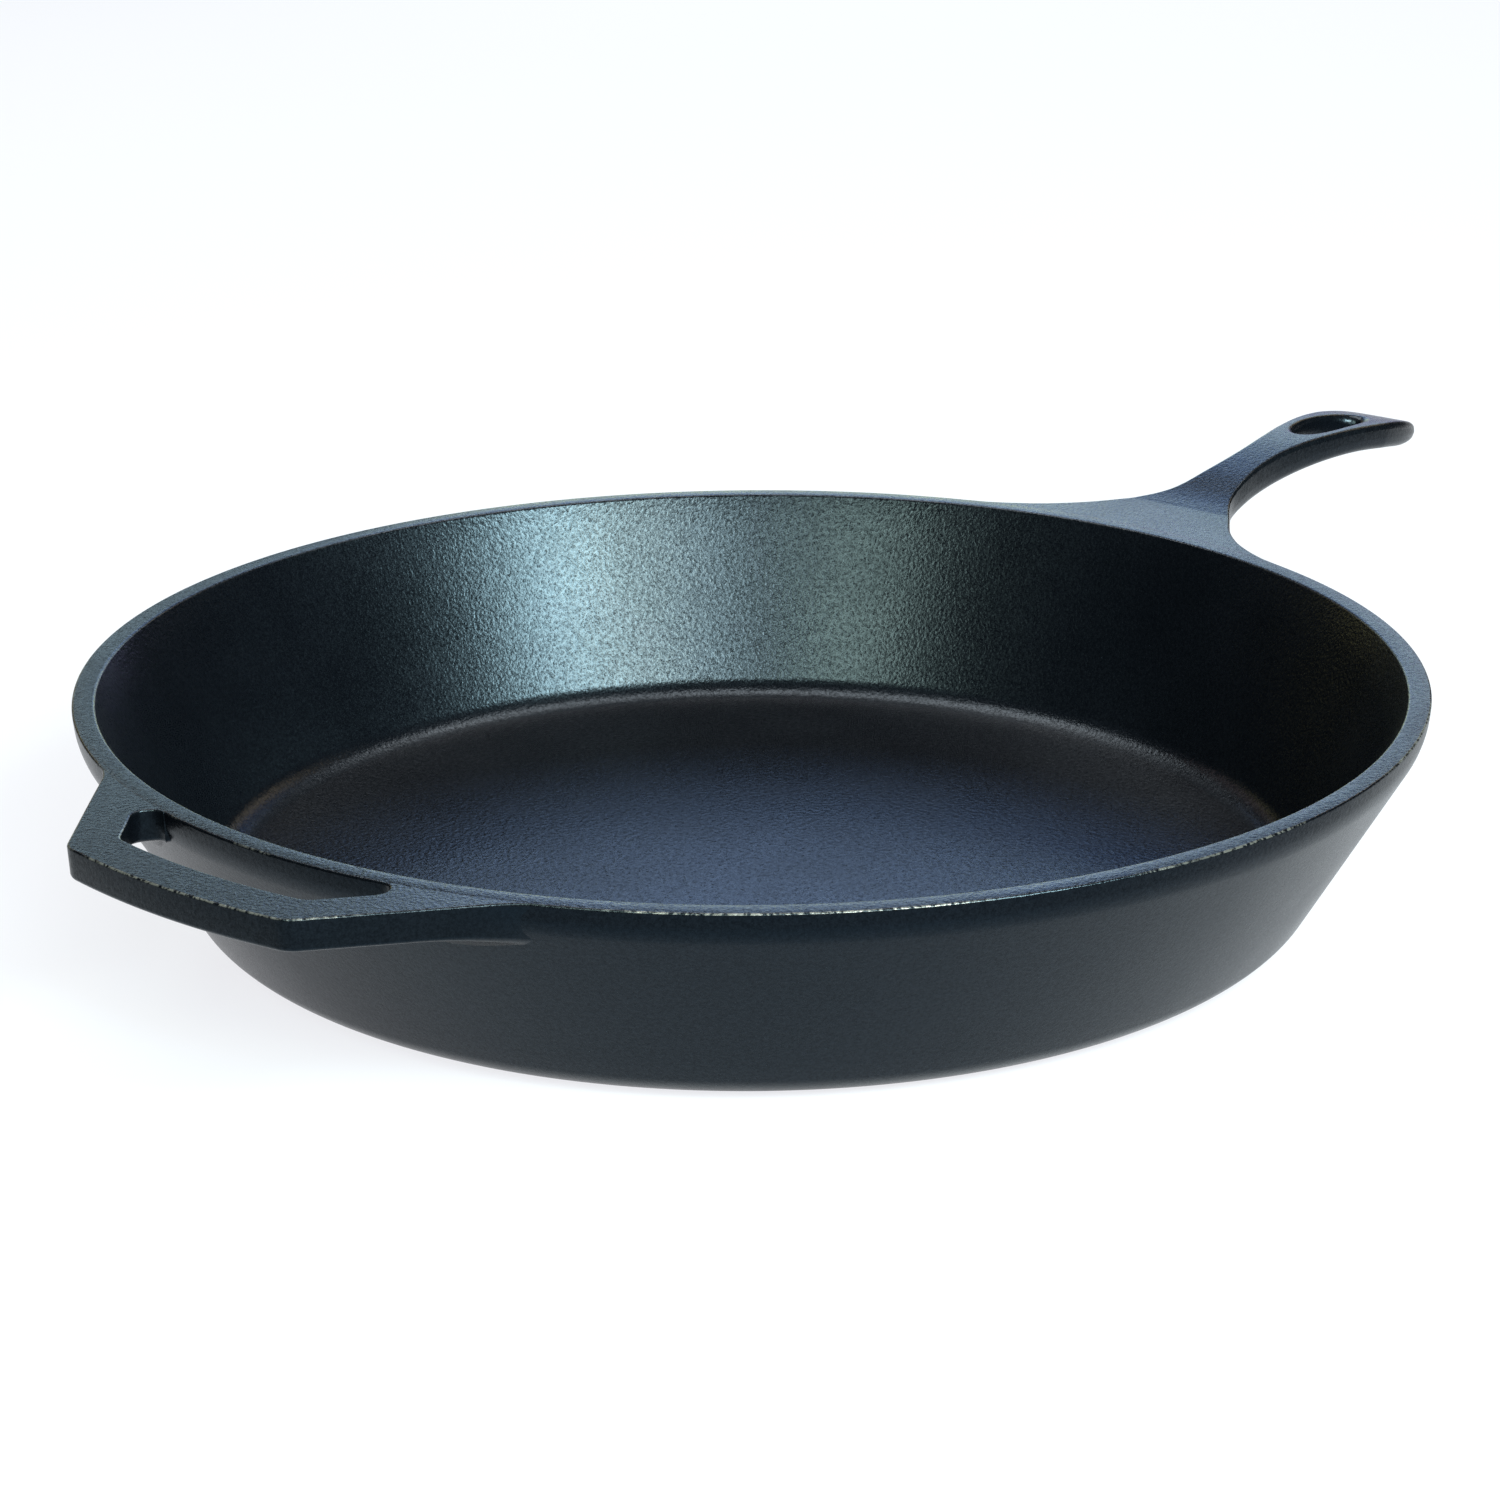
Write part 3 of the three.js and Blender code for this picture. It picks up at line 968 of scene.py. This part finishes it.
@dataclass(frozen=True)
class Root:
    """How a handle grows out of the pan: hidden in the rim, and swept into the wall at its sides.

    Attributes:
        pan: The pan that it grows from.
        side_angle: Degrees off the handle's axis where its side meets the rim.
        blend_angle: Degrees off the axis where the side begins to lean towards the wall.
        open_angle: Degrees off the axis up to which the underside has no fillet.
        fillet_foot: How far in from the rim's face the underside's fillet has its foot.
        fillet_reach: How far out from its foot the fillet starts.
        fillet_depth: How far down the wall the fillet runs.
        fillet_power: How sharply it turns down towards the wall.
        fillet_limit: Where it stops deepening inside its foot, in reaches from its start.
        fillet_fade: Degrees over which it sets in beyond the open angle.
        tuck: How far inside the wall's face the leaned sides end.
        sunk: How far the root's top lies under the rim's top.
        sunk_reach: How far out from the rim that difference fades.
    """

    pan: Pan
    side_angle: float
    blend_angle: float
    open_angle: float = 0.0
    fillet_foot: float = 7.2 * MM
    fillet_reach: float = 20 * MM
    fillet_depth: float = 9 * MM
    fillet_power: float = 2.2
    fillet_limit: float = 1.3
    fillet_fade: float = 4
    tuck: float = 0.1 * MM
    sunk: float = 0.02 * MM
    sunk_reach: float = 4 * MM

    def _share(self, at: Vector, start: float, end: float) -> float:
        """A smooth step from 0 to 1 as points go round the pan.

        Args:
            at: The point.
            start: Degrees off the handle's axis where the step begins.
            end: Degrees off the axis where it is complete.

        Returns:
            The step's value at the point.
        """
        angle = math.degrees(abs(math.atan2(at.y, at.x)))
        t = clamped((angle - start) / max(end - start, WELD))
        return t * t * (3 - 2 * t)

    def fillet(self, at: Vector) -> float:
        """Finds how much deeper the underside lies where it curves down into the wall.

        Args:
            at: A point of the handle.

        Returns:
            The extra depth there.
        """
        foot_r = self.pan.rim_r - self.fillet_foot
        nearness = clamped(1 - (at.xy.length - foot_r) / self.fillet_reach, 0.0, self.fillet_limit)
        closed = self.open_angle + self.fillet_fade
        fade = self._share(at, self.open_angle, closed) if self.open_angle else 1.0
        return self.fillet_depth * nearness ** self.fillet_power * fade

    def lean(self, at: Vector) -> float:
        """Finds how far a point moves in, so that the handle's side lies along band and wall.

        Args:
            at: A point of the handle.

        Returns:
            The distance towards the pan's axis.
        """
        pan = self.pan
        down_band = min(1.0, (pan.height - at.z) / (pan.height - pan.band_z))
        in_band = (pan.rim_r - pan.wall_top_r) * down_band
        below = max(0.0, pan.wall_top_r - pan.outer(min(at.z, pan.band_z)))
        full = max(0.0, in_band) + below + self.tuck
        return full * self._share(at, self.blend_angle, self.side_angle)

    def sink(self, bm: bmesh.types.BMesh) -> None:
        """Leans the handle's sides, and puts its inner end inside the rim, a hair below its top.

        Args:
            bm: The handle's bmesh, in place along +X.
        """
        pan = self.pan
        for vert in bm.verts:
            radius = vert.co.xy.length
            vert.co.z -= self.sunk * clamped(1 - (radius - pan.rim_r) / self.sunk_reach)
            edge_r = pan.rim_r - self.lean(vert.co)
            if radius < pan.rim_r:
                share = (pan.rim_r - radius) / ROOT_DEPTH
                sunk = edge_r + share * (min(edge_r, pan.mid_iron(vert.co.z)) - edge_r)
            else:
                sunk = radius - self.lean(vert.co)
            vert.co.xy *= sunk / radius


# ---------------------------------------------------------------- the main handle


@dataclass
class MainHandle:
    """The long handle: a flared root, a narrow shaft that rises, and a wide end that droops.

    Attributes:
        pan: The pan that it grows from.
        thickness: Thickness of the flat plate that it is bent from.
        step: Rough distance between points of its outline.
        grid: Width of the squares that its faces are cut into.
        half_widths: Distance from the pan's axis and half the width there, in millimetres.
        upper_line: That distance and the top's height above the rim's top, in millimetres.
        lower_line: The same for its underside.
        line_step: Rough distance between points of those two lines.
        tip_length: Length of the half ellipse at its end.
        eye_x: Where the hanging hole's centre lies.
        eye_half: Half the hole's length and width.
        eye_fineness: Distance between the hole's points, as a share of the outline's.
        edge: Form of its outer edge.
        eye_edge: Form of the hole's edge.
        soft_from: Where the outer edge's rounding begins to grow.
        soft_to: Where it is largest.
        tip_softness: How many times larger it is there.
        eye_softness: The same for the hole's lip at the hole's two ends, against its sides.
    """

    pan: Pan
    thickness: float = 9 * MM
    step: float = 1.2 * MM
    grid: float = 2.5 * MM
    half_widths: tuple[Span, ...] = (
        (172.3, 71.4), (179.1, 70.3), (183.2, 62.8), (187.0, 54.3), (191.6, 45.9), (197.7, 37.6),
        (206.5, 29.2), (217, 22), (233, 12.3), (249, 8.7), (265, 7.8), (281, 9.2), (297, 11.8),
        (313, 14.1), (325, 15.1),
    )
    upper_line: tuple[Span, ...] = (
        (180, 0), (215, 0), (223, 0.4), (233, 2), (249, 6), (265, 8.8), (281, 10.5), (297, 11.1),
        (313, 10.8), (329, 9.3), (343, 6.7), (363, 1.1),
    )
    lower_line: tuple[Span, ...] = (
        (180, -9), (217, -9), (233, -7.3), (249, -4.5), (265, -2), (281, 0.3), (297, 1.8), (313, 1.8),
        (329, 0.1), (343, -2.1), (363, -3.9),
    )
    line_step: float = 1 * MM
    tip_length: float = 37.2 * MM
    eye_x: float = 312 * MM
    eye_half: Span = (18.5 * MM, 7.6 * MM)
    eye_fineness: float = 0.8
    edge: EdgeForm = EdgeForm(0.8 * MM, 2.4 * MM, 4.6 * MM, 0.07, 0.24)
    eye_edge: EdgeForm = EdgeForm(1.5 * MM, 1.2 * MM, 4.6 * MM, 0.04, 0.04)
    soft_from: float = 235 * MM
    soft_to: float = 335 * MM
    tip_softness: float = 3.2
    eye_softness: float = 2.4

    @property
    def root(self) -> Root:
        """How it grows out of the rim."""
        return Root(self.pan, side_angle=18.5, blend_angle=12)

    def outline(self) -> list[Vector]:
        """Draws the handle seen from above, closed inside the rim's iron.

        Returns:
            Its points, anticlockwise.
        """
        side = smooth_curve([(x * MM, y * MM) for x, y in self.half_widths], self.step)
        tip_centre, half_width = side[-1].x, side[-1].y
        tip = arc(Vector((tip_centre, 0)), (self.tip_length, half_width), -math.pi / 2, math.pi / 2,
                  self.step)
        near = [Vector((p.x, -p.y)) for p in side]
        root_angle = math.atan2(side[0].y, side[0].x)
        root_r = side[0].length
        root = arc(Vector((0, 0)), (root_r, root_r), root_angle, -root_angle,
                   HIDDEN_COARSENESS * self.step)
        return near[:-1] + tip + side[-2::-1] + root[1:-1]

    def eye(self) -> list[Vector]:
        """The hanging hole's outline."""
        step = self.eye_fineness * self.step
        return arc(Vector((self.eye_x, 0)), self.eye_half, 0, math.tau, step)[:-1]

    def edge_softness(self, point: Vector) -> float:
        """How much softer the top edge is here than at the root."""
        share = clamped((point.x - self.soft_from) / (self.soft_to - self.soft_from))
        return 1 + (self.tip_softness - 1) * share

    def lip_softness(self, point: Vector) -> float:
        """How much softer the eye's lip is here than at its sides."""
        return 1 + (self.eye_softness - 1) * ((point.x - self.eye_x) / self.eye_half[0]) ** 2

    def _line(self, points: tuple[Span, ...]) -> np.ndarray:
        """Runs a smooth line through heights given along the handle.

        Args:
            points: Distances from the pan's axis and heights there, in millimetres.

        Returns:
            The line's distances and heights, in metres, one pair to a row.
        """
        curve = smooth_curve([(x * MM, z * MM) for x, z in points], self.line_step)
        return np.array([p[:] for p in curve])

    def shape(self, plate: Plate) -> None:
        """Bends the flat plate to the handle's side view and sinks its root into the rim.

        Args:
            plate: The closed flat plate.
        """
        upper, lower = self._line(self.upper_line), self._line(self.lower_line)
        for vert in plate.bm.verts:
            share = -vert.co.z / self.thickness
            top = np.interp(vert.co.x, upper[:, 0], upper[:, 1])
            bottom = np.interp(vert.co.x, lower[:, 0], lower[:, 1]) - self.root.fillet(vert.co)
            vert.co.z = self.pan.height + top * (1 - share) + bottom * share
        self.root.sink(plate.bm)

    def build(self) -> bpy.types.Object:
        """Builds and dresses the handle.

        Returns:
            The finished piece.
        """
        plate = Plate(self.thickness)
        plate.edge(self.outline(), self.edge, 1, self.edge_softness)
        plate.edge(self.eye(), self.eye_edge, -1, self.lip_softness)
        plate.close(self.grid)
        self.shape(plate)
        return dress(finish_mesh(plate.bm, "main_handle"), HANDLE_IRON,
                     "handle_root", "handle_shaft", "handle_end")


# ---------------------------------------------------------------- the helper handle


@dataclass
class HelperHandle:
    """The short handle: a flat plate with flared sides and a finger slot, made along +X and turned.

    Attributes:
        pan: The pan that it grows from.
        thickness: Its thickness.
        step: Rough distance between points of its outline.
        grid: Width of the squares that its faces are cut into.
        reach: How far from the pan's axis its outer side lies.
        corner_angle: Degrees off its axis of its outer corners.
        corner_rounding: Radius of those corners.
        slant: Degrees off its axis that its arms' sides run.
        slot_r: How far from the pan's axis the slot's outer side lies.
        slot_angle: Degrees off its axis of the slot's outer corners.
        slot_rounding: Radius of those corners.
        slot_inner_rounding: Radius of the slot's corners at the rim.
        root_rounding: Radius between the arms' outer sides and the rim.
        outer_sweep: Degrees from an arm's outer foot, out round the pan, to where its edge starts
            inside the rim and to where it crosses the rim's face.
        slot_sweep: The same from its foot in the slot.
        bar_chord: Where a corner's rounding aims along the bar, as a share of the corner's angle.
        edge: Form of its edge.
    """

    pan: Pan
    thickness: float = 9 * MM
    step: float = 1.2 * MM
    grid: float = 2.5 * MM
    reach: float = 226 * MM
    corner_angle: float = 10.2
    corner_rounding: float = 8 * MM
    slant: float = 39.0
    slot_r: float = 212.4 * MM
    slot_angle: float = 9.2
    slot_rounding: float = 6 * MM
    slot_inner_rounding: float = 4.5 * MM
    root_rounding: float = 30 * MM
    outer_sweep: Span = (3.5, 4)
    slot_sweep: Span = (-4.5, -4)
    bar_chord: float = 0.6
    edge: EdgeForm = EdgeForm(0.6 * MM, 1.4 * MM, lower_draft=0.05)

    @property
    def root(self) -> Root:
        """How its arms grow out of the rim."""
        return Root(self.pan, side_angle=24.5, blend_angle=16, open_angle=12.6)

    def _meets_rim(self, corner: Vector) -> Vector:
        """Finds where a line that slants inward from a corner reaches the rim's outer face.

        Args:
            corner: The corner.

        Returns:
            The point on the rim.
        """
        along = polar(-1, -self.slant)
        b = corner.dot(along)
        return corner + along * (-b - math.sqrt(b * b - corner.length_squared + self.pan.rim_r ** 2))

    def _chain(self, radius: float, angle: float, sweep: Span, roundings: Span) -> list[Vector]:
        """Draws one side of an arm, from inside the rim out to the bar.

        Args:
            radius: How far from the pan's axis its corner at the bar lies.
            angle: Degrees off the handle's axis of that corner.
            sweep: Degrees from its foot to where it starts and to where it crosses the rim's face.
            roundings: Radii at its foot and at its corner.

        Returns:
            Its points, rim first.
        """
        corner = polar(radius, angle)
        foot = self._meets_rim(corner)
        foot_angle = math.degrees(math.atan2(foot.y, foot.x))
        start = polar(self.pan.rim_r - ROOT_DEPTH, foot_angle + sweep[0])
        crossing = polar(self.pan.rim_r, foot_angle + sweep[1])
        aim = polar(radius, self.bar_chord * angle)
        return [start, *rounded_corner(crossing, foot, corner, roundings[0], self.step),
                *rounded_corner(foot, corner, aim, roundings[1], self.step)]

    def outline(self) -> list[Vector]:
        """Draws the plate seen from above with its axis along +X.

        Returns:
            Its points, anticlockwise.
        """
        outer = self._chain(self.reach, self.corner_angle, self.outer_sweep,
                            (self.root_rounding, self.corner_rounding))
        slot = self._chain(self.slot_r, self.slot_angle, self.slot_sweep,
                           (self.slot_inner_rounding, self.slot_rounding))
        mirrored, slot_mirrored = ([Vector((p.x, -p.y)) for p in chain] for chain in (outer, slot))
        return (self._filled(mirrored) + self._bar(outer[-1]) + self._filled(outer[::-1])
                + self._root(outer[0], slot[0]) + self._filled(slot) + self._bar(slot[-1])[::-1]
                + self._filled(slot_mirrored[::-1]) + self._root(slot_mirrored[0], mirrored[0]))

    def _bar(self, end: Vector) -> list[Vector]:
        """Points on the arc from a point's mirror image up to the point, both left out."""
        angle = math.atan2(end.y, end.x)
        return arc(Vector((0, 0)), (end.length, end.length), -angle, angle, self.step)[1:-1]

    def _root(self, start: Vector, end: Vector) -> list[Vector]:
        """Draws the arc between two points inside the rim.

        Args:
            start: The first point.
            end: The last point.

        Returns:
            The arc's points, both ends left out.
        """
        a, b = math.atan2(start.y, start.x), math.atan2(end.y, end.x)
        step = HIDDEN_COARSENESS * self.step
        return arc(Vector((0, 0)), (start.length, start.length), a, b, step)[1:-1]

    def _filled(self, chain: list[Vector]) -> list[Vector]:
        """Adds points along a chain's long straight stretches.

        Args:
            chain: The chain's points.

        Returns:
            The points with the new ones among them.
        """
        full = [chain[0]]
        for a, b in zip(chain, chain[1:]):
            count = max(1, round((b - a).length / self.step))
            full += [a.lerp(b, i / count) for i in range(1, count + 1)]
        return full

    def build(self) -> bpy.types.Object:
        """Builds and dresses the handle.

        Returns:
            The finished piece.
        """
        plate = Plate(self.thickness)
        plate.edge(self.outline(), self.edge, 1)
        plate.close(self.grid)
        for vert in plate.bm.verts:
            share = -vert.co.z / self.thickness
            vert.co.z += self.pan.height - share * self.root.fillet(vert.co)
        self.root.sink(plate.bm)
        bmesh.ops.rotate(plate.bm, verts=plate.bm.verts, cent=(0, 0, 0),
                         matrix=Quaternion((0, 0, 1), math.pi).to_matrix())
        return dress(finish_mesh(plate.bm, "helper_handle"), HANDLE_IRON,
                     "helper_bar", "helper_arm_left", "helper_arm_right")


# ---------------------------------------------------------------- studio


@dataclass(frozen=True)
class Softbox:
    """A rectangular lamp that faces the pan from a distance.

    Attributes:
        name: The lamp's name.
        azimuth: Where it hangs, in degrees round the pan from -Y towards +X.
        elevation: How high it hangs, in degrees above the table.
        spread: Angles in degrees that its width and height take up, seen from the pan.
        radiance: Its brightness for red, green and blue.
        distance: How far away it hangs.
    """

    name: str
    azimuth: float
    elevation: float
    spread: Span
    radiance: Colour
    distance: float = 2.2

    def hang(self, centre: Vector) -> bpy.types.Object:
        """Hangs the lamp.

        Args:
            centre: The point that it faces.

        Returns:
            The lamp's object.
        """
        lamp = bpy.data.lights.new(self.name, "AREA")
        lamp.shape = "RECTANGLE"
        lamp.size, lamp.size_y = (2 * self.distance * math.tan(math.radians(a) / 2)
                                  for a in self.spread)
        brightest = max(self.radiance)
        lamp.energy = brightest * math.pi * lamp.size * lamp.size_y
        lamp.color = [c / brightest for c in self.radiance]
        holder = bpy.data.objects.new(self.name, lamp)
        bpy.context.scene.collection.objects.link(holder)
        out = direction(self.azimuth, self.elevation)
        holder.location = centre + out * self.distance
        holder.rotation_mode = "QUATERNION"
        holder.rotation_quaternion = (-out).to_track_quat("-Z", "Y")
        holder.visible_camera = False
        return holder


def direction(azimuth: float, elevation: float) -> Vector:
    """The way from the pan towards something seen at an azimuth and elevation, in degrees."""
    a, e = math.radians(azimuth), math.radians(elevation)
    return Vector((math.sin(a) * math.cos(e), -math.cos(a) * math.cos(e), math.sin(e)))


@dataclass
class Studio:
    """The pale floor, the lamps, the dim surroundings and the camera.

    Attributes:
        azimuth: Where the camera stands, in degrees round the pan from -Y towards +X.
        elevation: How high it stands, in degrees above the table.
        distance: Its distance from the target.
        target: The point that it and the lamps face.
        lens: Its focal length in millimetres.
        sensor: Its sensor's width in millimetres.
        shift: Its shift across and up, in shares of the sensor's width.
        roll: Its turn about its own axis, in degrees.
        clip_end: How far it sees.
        floor_size: Length of the floor's side.
        floor_albedo: Share of the lamps' light that the floor sends back.
        floor_glow: Light that the floor gives out itself.
        floor_roughness: How matt the floor is.
        world: Light of the room.
        softboxes: The lamps.
    """

    azimuth: float = -49.9
    elevation: float = 19.595
    distance: float = 1.10781
    target: Vector = field(default_factory=lambda: Vector((0, 0, 30 * MM)))
    lens: float = 91.16
    sensor: float = 36.0
    shift: Span = (-0.00146, 0.01949)
    roll: float = -0.3665
    clip_end: float = 100.0
    floor_size: float = 40.0
    floor_albedo: Colour = (0.12, 0.12, 0.12)
    floor_glow: Colour = (0.80, 0.80, 0.83)
    floor_roughness: float = 0.9
    world: Colour = (0.02, 0.02, 0.02)
    softboxes: tuple[Softbox, ...] = (
        Softbox("key_right", -4, 37, (14, 24), (40.0, 57.0, 63.0)),
        Softbox("key_right_inner", -18, 37, (14, 24), (24.0, 26.0, 22.0)),
        Softbox("key_middle", -32, 37, (14, 24), (14.0, 18.5, 21.0)),
        Softbox("key_left_inner", -46, 37, (14, 24), (6.0, 7.5, 7.7)),
        Softbox("key_gap", -60, 37, (14, 24), (0.5, 0.9, 1.2)),
        Softbox("key_left", -74, 37, (14, 24), (15.0, 19.0, 17.0)),
        Softbox("back_left_high", 100, 28, (15, 12), (1.8, 1.4, 0.9)),
        Softbox("back_left_low", 115, 8, (15, 8), (0.8, 0.8, 1.4)),
        Softbox("back_left", 115, 17, (15, 10), (1.8, 2.5, 2.8)),
        Softbox("back_left_upper", 115, 28, (15, 12), (0.1, 0.3, 0.9)),
        Softbox("back_low", 130, 8, (15, 8), (2.4, 2.9, 2.0)),
        Softbox("back", 130, 17, (15, 10), (1.2, 1.7, 2.7)),
        Softbox("back_upper", 130, 28, (15, 12), (0.9, 1.4, 2.4)),
        Softbox("back_right", 145, 17, (15, 10), (1.2, 1.7, 2.0)),
        Softbox("back_far_right", 160, 17, (15, 10), (1.1, 1.0, 0.4)),
        Softbox("back_far_upper", 160, 28, (15, 12), (0.7, 0.5, 0.5)),
        Softbox("back_top", 135, 62, (40, 24), (6.1, 6.3, 6.6)),
    )

    def camera(self) -> bpy.types.Object:
        """Places the camera.

        Returns:
            The camera, set as the scene's.
        """
        data = bpy.data.cameras.new("camera")
        data.lens, data.sensor_width = self.lens, self.sensor
        data.shift_x, data.shift_y = self.shift
        data.clip_end = self.clip_end
        cam = bpy.data.objects.new("camera", data)
        bpy.context.scene.collection.objects.link(cam)
        out = direction(self.azimuth, self.elevation)
        cam.location = self.target + out * self.distance
        cam.rotation_mode = "QUATERNION"
        aim = (-out).to_track_quat("-Z", "Y")
        cam.rotation_quaternion = aim @ Quaternion((0, 0, 1), math.radians(self.roll))
        bpy.context.scene.camera = cam
        return cam

    def floor(self) -> bpy.types.Object:
        """Lays a large pale floor that glows as a light table does.

        Returns:
            The floor.
        """
        bm = bmesh.new()
        bmesh.ops.create_grid(bm, x_segments=1, y_segments=1, size=self.floor_size / 2)
        mesh = bpy.data.meshes.new("studio_floor")
        bm.to_mesh(mesh)
        bm.free()
        floor = bpy.data.objects.new("studio_floor", mesh)
        bpy.context.scene.collection.objects.link(floor)
        paper = bpy.data.materials.new("white_paper")
        paper.use_nodes = True
        surface = {"Base Color": (*self.floor_albedo, 1), "Emission Color": (*self.floor_glow, 1),
                   "Emission Strength": 1.0, "Roughness": self.floor_roughness,
                   "Specular IOR Level": 0.0}
        for socket, value in surface.items():
            paper.node_tree.nodes["Principled BSDF"].inputs[socket].default_value = value
        mesh.materials.append(paper)
        return floor

    def surroundings(self) -> None:
        """Sets the dim, even light of the room."""
        world = bpy.data.worlds.new("room")
        world.use_nodes = True
        world.node_tree.nodes["Background"].inputs["Color"].default_value = (*self.world, 1)
        bpy.context.scene.world = world

    def build(self) -> None:
        """Sets up camera, floor, room and lamps."""
        self.camera()
        self.floor()
        self.surroundings()
        for softbox in self.softboxes:
            softbox.hang(self.target)
        bpy.context.scene.view_settings.view_transform = "Standard"


# ---------------------------------------------------------------- assembly

COOKING_IRON = SeasonedIron(Slot.COOKING, (0.0014, 0.0014, 0.0020), 0.29)
PAN_IRON = SeasonedIron(Slot.PAN, (0.0013, 0.0016, 0.0024), 0.29, pebble=1.1 * MM, relief=0.12 * MM,
                        pitting=0.8)
HANDLE_IRON = SeasonedIron(Slot.HANDLE, (0.0016, 0.0020, 0.0028), 0.29, pebble=1.2 * MM,
                           relief=0.12 * MM, pitting=0.7)


def main() -> None:
    """Builds the skillet's pieces in order, then the studio."""
    logging.basicConfig(level=logging.INFO, format="%(name)s: %(message)s")
    pan = Pan()
    pan.build()
    HelperHandle(pan).build()
    MainHandle(pan).build()
    Studio().build()


if __name__ == "__main__":
    main()
